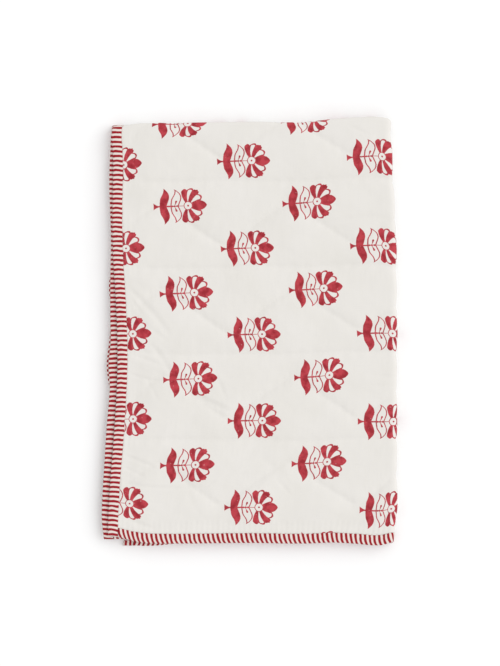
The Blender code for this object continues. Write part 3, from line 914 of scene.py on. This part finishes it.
def stitch_tree(material):
    """A geometry tree that puts one bowed stitch of thread on each point."""
    tree = bpy.data.node_groups.new("stitches", "GeometryNodeTree")
    tree.interface.new_socket("Geometry", in_out="INPUT", socket_type="NodeSocketGeometry")
    for name in ("Stitch Length", "Bow", "Thread Width"):
        tree.interface.new_socket(name, in_out="INPUT", socket_type="NodeSocketFloat")
    tree.interface.new_socket("Geometry", in_out="OUTPUT", socket_type="NodeSocketGeometry")
    given = add(tree, "NodeGroupInput").outputs
    half = add(tree, "Math", given["Stitch Length"], 0.5, operation="MULTIPLY")
    back = add(tree, "Math", half, -1, operation="MULTIPLY")
    drop = add(tree, "Math", given["Bow"], -1, operation="MULTIPLY")
    start = add(tree, "CombineXYZ", {"X": back, "Z": drop})
    top = add(tree, "CombineXYZ", {"Z": given["Bow"]})
    end = add(tree, "CombineXYZ", {"X": half, "Z": drop})
    path = {"Resolution": STITCH_STEPS, "Start": start, "Middle": top, "End": end}
    path = add(tree, "GeometryNodeCurveQuadraticBezier", path)
    thickness = add(tree, "Math", given["Thread Width"], 0.5, operation="MULTIPLY")
    section = {"Resolution": THREAD_SIDES, "Radius": thickness}
    section = add(tree, "GeometryNodeCurvePrimitiveCircle", section, mode="RADIUS")
    stitch = {"Curve": path, "Profile Curve": section, "Fill Caps": True}
    stitch = add(tree, "GeometryNodeCurveToMesh", stitch)

    # Each stitch runs the way its point says and stands up out of the cloth
    run = add(tree, "GeometryNodeInputNamedAttribute", {"Name": "run"}, data_type="FLOAT_VECTOR")
    lift = add(tree, "GeometryNodeInputNamedAttribute", {"Name": "lift"}, data_type="FLOAT_VECTOR")
    turned = add(tree, "FunctionNodeAlignRotationToVector", {"Vector": run}, axis="X", pivot_axis="AUTO")
    turned = {"Rotation": turned, "Vector": lift}
    turned = add(tree, "FunctionNodeAlignRotationToVector", turned, axis="Z", pivot_axis="X")
    size = {2: SHORTEST_STITCH, 3: LONGEST_STITCH, "Seed": STITCH_SEED}
    size = add(tree, "FunctionNodeRandomValue", size, data_type="FLOAT").outputs[1]
    size = add(tree, "CombineXYZ", {"X": size, "Y": 1, "Z": 1})
    placed = {"Points": given["Geometry"], "Instance": stitch, "Rotation": turned, "Scale": size}
    placed = add(tree, "GeometryNodeInstanceOnPoints", placed)
    real = add(tree, "GeometryNodeRealizeInstances", {"Geometry": placed})
    real = add(tree, "GeometryNodeSetShadeSmooth", real)
    real = add(tree, "GeometryNodeSetMaterial", {"Geometry": real, "Material": material})
    add(tree, "NodeGroupOutput", {"Geometry": real})
    return tree


def sew(name, points, runs, lifts, tree, sizes):
    """Turns points, with the way each stitch runs and which way is out, into a mesh of thread."""
    mesh = bpy.data.meshes.new(name + "_points")
    mesh.from_pydata(points, [], [])
    for key, vectors in (("run", runs), ("lift", lifts)):
        attribute = mesh.attributes.new(key, "FLOAT_VECTOR", "POINT")
        attribute.data.foreach_set("vector", np.asarray(vectors, dtype=np.float32).ravel())
    carrier = bpy.data.objects.new(name, mesh)
    bpy.context.collection.objects.link(carrier)
    modifier = carrier.modifiers.new("stitches", "NODES")
    modifier.node_group = tree
    inputs = {item.name: item.identifier for item in tree.interface.items_tree if item.in_out == "INPUT"}
    for key, value in sizes.items():
        modifier[inputs[key]] = value
    evaluated = carrier.evaluated_get(bpy.context.evaluated_depsgraph_get())
    sewn = bpy.data.meshes.new_from_object(evaluated)
    carrier.modifiers.remove(modifier)
    carrier.data = sewn
    bpy.data.meshes.remove(mesh)
    return carrier


def surface_frames(u, v, h, du, dv):
    """Points on the folded quilt, with the way that (du, dv) runs there and which way is out."""
    small = 0.3 * MM
    points = place(u, v, h)
    runs = place(u + du * small, v + dv * small, h) - place(u - du * small, v - dv * small, h)
    lifts = place(u, v, h + small) - place(u, v, h - small)
    runs /= np.linalg.norm(runs, axis=-1, keepdims=True)
    lifts /= np.linalg.norm(lifts, axis=-1, keepdims=True)
    return points, runs, lifts


def make_quilting_thread(tree):
    """Running stitches along every line of quilting on the printed face of the front half."""
    edge = HALF_WIDTH - BOUND - LINE_CLEAR_OF_BINDING
    front = -(HALF_LENGTH - BOUND - LINE_CLEAR_OF_BINDING)
    fine_u = np.arange(-edge, edge, WALK_STEP)
    places = []
    for shape, number in QUILTING_LINES:
        fine_v = shape(fine_u, number)
        walked = np.concatenate([[0], np.cumsum(np.hypot(np.diff(fine_u), np.diff(fine_v)))])
        offset = (STITCH_STAGGER * number % 1) * STITCH_PITCH
        stops = np.arange(offset, walked[-1], STITCH_PITCH)
        u = np.interp(stops, walked, fine_u)
        v = np.interp(stops, walked, fine_v)
        slope = np.gradient(fine_v, fine_u)
        shown = (v > front) & (v < LOOP)
        places.append(np.stack([u, v, np.interp(u, fine_u, slope)])[:, shown])
    u, v, slope = np.concatenate(places, axis=1)
    on_face = SEWN_THICKNESS / 2 - STITCH_SINK + smooth(-v / FRONT_FADE) * unevenness(u, v)
    length = np.sqrt(1 + slope**2)
    points, runs, lifts = surface_frames(u, v, on_face, 1 / length, slope / length)
    sizes = {"Stitch Length": STITCH_LENGTH, "Bow": STITCH_BOW, "Thread Width": THREAD_WIDTH}
    return sew("quilting_thread", points, runs, lifts, tree, sizes)


stitches = stitch_tree(thread_cotton())
quilting_thread = make_quilting_thread(stitches)
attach(quilting_thread, "root")


# The binding: four strips of narrow-striped cotton, each folded over the rim with its raw edges
# turned in, so that it is plump and round at the edge. It is hemmed to the cloth by hand.

BINDING_WIDTH = 13 * MM
CLEAR_OF_CLOTH = 0.3 * MM
SEAT = SEWN_THICKNESS / 2 + CLEAR_OF_CLOTH
SKIN = SEAT + 0.75 * MM
NOSE = 1.05 * MM
SEAT_END = 0.3 * MM
HEM_HEIGHT = SEAT + 0.3 * MM
HEM_SHARPNESS = 6
PLUMPNESS = 0.3 * MM
NOSE_STEPS = 8
FLAT_STEPS = 5
BINDING_STEP = 2.3 * MM
# The hem wobbles where it lies on the cloth, and the strip puckers past the round of its edge
HEM_WOBBLE = 0.3 * MM
WOBBLE_SEED = 11
WOBBLE_LENGTHS = (9 * MM, 14 * MM, 31 * MM)
WOBBLE_START = 6 * MM
WOBBLE_RISE = 8 * MM
STRIP_PUCKER = 0.05 * MM
PUCKER_LENGTHS = (5.2 * MM, 7.5 * MM, 12 * MM)
PUCKER_START = 4 * MM
# A long strip is lower at its closed ends
END_HEIGHT = 0.62
END_REACH = 2.4 * MM
STRIPE_PERIOD = 6.7 * MM
STRIPE_SHARE = 0.53
STRIPE_EDGE = 0.07
STRIPE_DRIFT = 0.22
DRIFT_SIZE = 9 * MM
STRIPE_RED = "900E19"
STRIPE_CREAM = "D8CDC7"
YARN_DYED_FINISH = {"Roughness": 0.88, "Specular IOR Level": 0.3}
# How far the long strips' stripes lean at shares of the way from the fold to either end
LEAN_PLACES = (-1, -0.5, 0, 0.6, 1)
LEANS = (0.08, 0.12, 0.24, 0, 0.15)
# How far they hook at the rim, in front of the back fold and behind it
LONG_HOOKS = (1.5 * MM, -0.5 * MM)
LONG_HOOK_TURN = 20 * MM
# Where the lower strip turns the front corner, its stripes follow the end strip's
CORNER_TURN = 10 * MM
CORNER_TURN_REACH = 2 * MM
SHORT_LEAN = 0.17
SHORT_HOOK = -2.0 * MM
HOOK_REACH = 4.5 * MM

Strip = namedtuple("Strip", "name side long")
# side: which edge of the flat quilt it grips, -1 or 1; long: whether it lies along the quilt's
# length, with its ends closed, or across its width, between the long ones
STRIPS = (
    Strip(name="binding_upper_side", side=-1, long=True),
    Strip(name="binding_lower_side", side=1, long=True),
    Strip(name="binding_outer_end", side=-1, long=False),
    Strip(name="binding_inner_end", side=1, long=False),
)


def striped_cotton():
    """Yarn-dyed plain-weave cotton, with red stripes woven into cream: matt and slightly slubbed."""
    material, tree = new_material("yarn_dyed_striped_cotton")
    drift = {"Vector": add(tree, "UVMap", uv_map="cloth"), "Scale": 1 / DRIFT_SIZE, "Detail": 2}
    drift = add(tree, "TexNoise", drift, noise_dimensions="2D")
    drift = add(tree, "Math", drift, 0.5, operation="SUBTRACT")
    number = add(tree, "SeparateXYZ", add(tree, "UVMap", uv_map="stripe")).outputs["X"]
    number = add(tree, "Math", drift, STRIPE_DRIFT, number, operation="MULTIPLY_ADD")
    share = add(tree, "Math", number, 1, operation="FLOORED_MODULO")
    from_middle = add(tree, "Math", share, 0.5, operation="SUBTRACT")
    from_middle = add(tree, "Math", from_middle, operation="ABSOLUTE")
    red = {"Value": from_middle, "To Min": 1, "To Max": 0}
    red.update({"From Min": STRIPE_SHARE / 2 - STRIPE_EDGE, "From Max": STRIPE_SHARE / 2 + STRIPE_EDGE})
    red = add(tree, "MapRange", red, interpolation_type="SMOOTHSTEP")
    surface = {"Factor": red, 6: colour(STRIPE_CREAM), 7: colour(STRIPE_RED)}
    surface = add(tree, "Mix", surface, data_type="RGBA").outputs[2]
    finish_cotton(tree, surface, YARN_DYED_FINISH)
    return material


def binding_section():
    """The strip's section: distance out from the rim, height and distance round from the nose."""
    centre = NOSE - SKIN
    round_part = [
        (centre + SKIN * cos(turn), SKIN * sin(turn), SKIN * turn)
        for turn in np.linspace(-pi / 2, pi / 2, NOSE_STEPS + 1)
    ]
    flat = []
    for share in np.linspace(0, 1, FLAT_STEPS + 1)[1:]:
        out = centre + (-BINDING_WIDTH - centre) * share
        height = SKIN + PLUMPNESS * sin(pi * share) - (SKIN - HEM_HEIGHT) * share**HEM_SHARPNESS
        flat.append((out, height, SKIN * pi / 2 + centre - out))
    under = [(out, -height, -away) for out, height, away in reversed(flat)]
    return under + round_part + flat


def on_rim(strip, out, run):
    """The u and v of a strip's points, from how far out from the rim and how far along they lie."""
    if strip.long:
        return strip.side * (HALF_WIDTH + out), run
    return run, strip.side * (HALF_LENGTH + out)


def waves(runs, lengths, starts):
    """Several long waves on top of each other."""
    return sum(np.sin(2 * pi * runs / length + start) for length, start in zip(lengths, starts))


def stripe_phase(strip, run, length, away):
    """The stripes' count at each point: they lean, more at some places, and hook at the edge."""
    if strip.long:
        lean = np.interp(run / HALF_LENGTH, LEAN_PLACES, LEANS)
        hook = np.interp(run / LONG_HOOK_TURN, (-1, 1), LONG_HOOKS)
    else:
        lean = SHORT_LEAN
        hook = SHORT_HOOK
    straight = length + lean * away + hook * np.exp(-((away / HOOK_REACH) ** 2))
    if strip.name != "binding_lower_side":
        return straight / STRIPE_PERIOD
    turned = smooth((CORNER_TURN - HALF_LENGTH - run) / CORNER_TURN_REACH)
    return (straight + turned * (away - SHORT_LEAN * length - straight)) / STRIPE_PERIOD


def make_binding(strip, material):
    """A strip that grips the rim: an outer skin round the edge, and an inner one on the cloth."""
    section = binding_section()
    outer = len(section)
    if strip.long:
        reach, zone = HALF_LENGTH + NOSE, BACK_FOLD_ZONE
    else:
        reach, zone = HALF_WIDTH - BOUND, SIDE_FOLD_ZONE
    runs = stations(-reach, (-zone, BINDING_STEP), (zone, FOLD_STEP), (reach, BINDING_STEP))
    draw = np.random.default_rng(WOBBLE_SEED + len(strip.name) + strip.side)
    starts = 2 * pi * draw.random(len(WOBBLE_LENGTHS) + len(PUCKER_LENGTHS))
    wobble = HEM_WOBBLE / 2 * waves(runs, WOBBLE_LENGTHS, starts)
    pucker = STRIP_PUCKER * waves(runs, PUCKER_LENGTHS, starts[len(WOBBLE_LENGTHS) :])

    # The stripes keep their distance along the strip as it lies
    middle = place(*on_rim(strip, -BINDING_WIDTH / 2, runs), SKIN)
    lengths = np.concatenate([[0], np.cumsum(np.linalg.norm(np.diff(middle, axis=0), axis=-1))])
    lengths -= np.interp(0, runs, lengths)

    seat = ((-BINDING_WIDTH, SEAT), (SEAT_END, SEAT), (SEAT_END, -SEAT), (-BINDING_WIDTH, -SEAT))
    points = []
    pairs = []
    stripes = []
    for i, run in enumerate(runs):
        blunt = 1
        inner_run = run
        if strip.long:
            past = max(0, 1 - (reach - abs(run)) / END_REACH)
            blunt = END_HEIGHT + (1 - END_HEIGHT) * np.sqrt(max(0, 1 - past**2))
            inner_run = np.clip(run, -(HALF_LENGTH + SEAT_END), HALF_LENGTH + SEAT_END)
        for out, height, away in section:
            out_here = out + wobble[i] * smooth((abs(away) - WOBBLE_START) / WOBBLE_RISE)
            height_here = height * blunt + np.sign(height) * pucker[i] * (abs(away) > PUCKER_START)
            points.append((out_here, height_here, run))
            pairs.append((away, run))
            stripes.append((stripe_phase(strip, run, lengths[i], away), away / BINDING_WIDTH))
        for out, height in seat:
            points.append((out, height, inner_run))
            pairs.append((out, run))
            stripes.append((lengths[i] / STRIPE_PERIOD, 0))
    out, height, run = np.array(points).T
    places = place(*on_rim(strip, out, run), height)

    size = outer + len(seat)
    faces = []
    for i in range(len(runs) - 1):
        for k in range(size):
            a, b = i * size + k, i * size + (k + 1) % size
            faces.append([a, b, b + size, a + size])
    last = (len(runs) - 1) * size
    whole_end = tuple(range(size))
    ends = [whole_end]
    if strip.long:
        ends = [whole_end[:outer], whole_end[outer:], (outer - 1, outer, size - 1, 0)]
    for end in ends:
        faces.append(list(reversed(end)))
        faces.append([last + k for k in end])
    maps = {"cloth": np.array(pairs), "stripe": np.array(stripes)}
    return mesh_object(strip.name + "_strip", places, faces, maps, [material])


HEM_STITCH_PITCH = 8 * MM
HEM_STITCH_LENGTH = 1.9 * MM
HEM_STITCH_BOW = 0.35 * MM
HEM_THREAD_WIDTH = 0.35 * MM
HEM_STITCH_SLANT = 0.4
HEM_CLEAR_OF_CORNER = 18 * MM


def make_hem_thread(strip, tree):
    """Slip stitches that hold one strip's hem to the printed face of the front half."""
    inward = -BINDING_WIDTH - HEM_STITCH_LENGTH / 3
    half, end = HALF_WIDTH, HALF_WIDTH - HEM_CLEAR_OF_CORNER
    du, dv = HEM_STITCH_SLANT, strip.side
    if strip.long:
        half, end = HALF_LENGTH, 0
        du, dv = dv, du
    u, v = on_rim(strip, inward, np.arange(HEM_CLEAR_OF_CORNER - half, end, HEM_STITCH_PITCH))
    points, runs, lifts = surface_frames(u, v, HEM_HEIGHT, du, dv)
    sizes = {"Stitch Length": HEM_STITCH_LENGTH, "Bow": HEM_STITCH_BOW, "Thread Width": HEM_THREAD_WIDTH}
    return sew(strip.name + "_hem_thread", points, runs, lifts, tree, sizes)


stripes_of_cotton = striped_cotton()
for strip in STRIPS:
    binding = make_binding(strip, stripes_of_cotton)
    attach(binding, "root")
    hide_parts(strip.name)
    if strip.name != "binding_inner_end":
        hem_thread = make_hem_thread(strip, stitches)
        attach(hem_thread, "root")


# The surface that the quilt lies on: a plain white sweep.

FLOOR_SIZE = 8.0
FLOOR_WHITE = "EFEFEF"
FLOOR_FINISH = {"Roughness": 0.9, "Specular IOR Level": 0.1}


def make_floor():
    """A plain, matt white surface."""
    reach = FLOOR_SIZE / 2
    corners = [(-reach, -reach, 0), (reach, -reach, 0), (reach, reach, 0), (-reach, reach, 0)]
    mesh = bpy.data.meshes.new("floor")
    mesh.from_pydata(corners, [], [(0, 1, 2, 3)])
    material, tree = new_material("white_paper_sweep")
    shader = add(tree, "BsdfPrincipled", {"Base Color": colour(FLOOR_WHITE), **FLOOR_FINISH})
    add(tree, "OutputMaterial", {"Surface": shader})
    mesh.materials.append(material)
    floor = bpy.data.objects.new("floor", mesh)
    bpy.context.collection.objects.link(floor)
    return floor


make_floor()


# The light: a bright white room, and a large soft light on the right, half way up and turned a
# little to the back.

ROOM_STRENGTH = 0.965
SOFT_LIGHT_STRENGTH = 1.2
SOFT_LIGHT_SPREAD = 60
SOFT_LIGHT_HEIGHT = 40
SOFT_LIGHT_SIDE = 18


def make_light():
    """An even white sky, and a light that falls the same all over the quilt."""
    world = bpy.data.worlds.new("room")
    world.use_nodes = True
    world.node_tree.nodes["Background"].inputs["Color"].default_value = (1, 1, 1, 1)
    world.node_tree.nodes["Background"].inputs["Strength"].default_value = ROOM_STRENGTH
    bpy.context.scene.world = world
    soft = bpy.data.lights.new("soft_light", "SUN")
    soft.energy = SOFT_LIGHT_STRENGTH
    soft.angle = radians(SOFT_LIGHT_SPREAD)
    light = bpy.data.objects.new("soft_light", soft)
    light.rotation_euler = (0, radians(90 - SOFT_LIGHT_HEIGHT), radians(SOFT_LIGHT_SIDE))
    bpy.context.collection.objects.link(light)
    bpy.context.scene.view_settings.view_transform = "Standard"


make_light()


# The camera looks straight down on the middle of the stack.

CAMERA_PLACE = (1.22 * MM, -1.77 * MM, 2.241)
LENS = 85
SENSOR_WIDTH = 36


def make_camera():
    """An 85 mm lens, straight above."""
    camera = bpy.data.cameras.new("camera")
    camera.lens = LENS
    camera.sensor_width = SENSOR_WIDTH
    seen_from = bpy.data.objects.new("camera", camera)
    seen_from.location = CAMERA_PLACE
    bpy.context.collection.objects.link(seen_from)
    bpy.context.scene.camera = seen_from


make_camera()
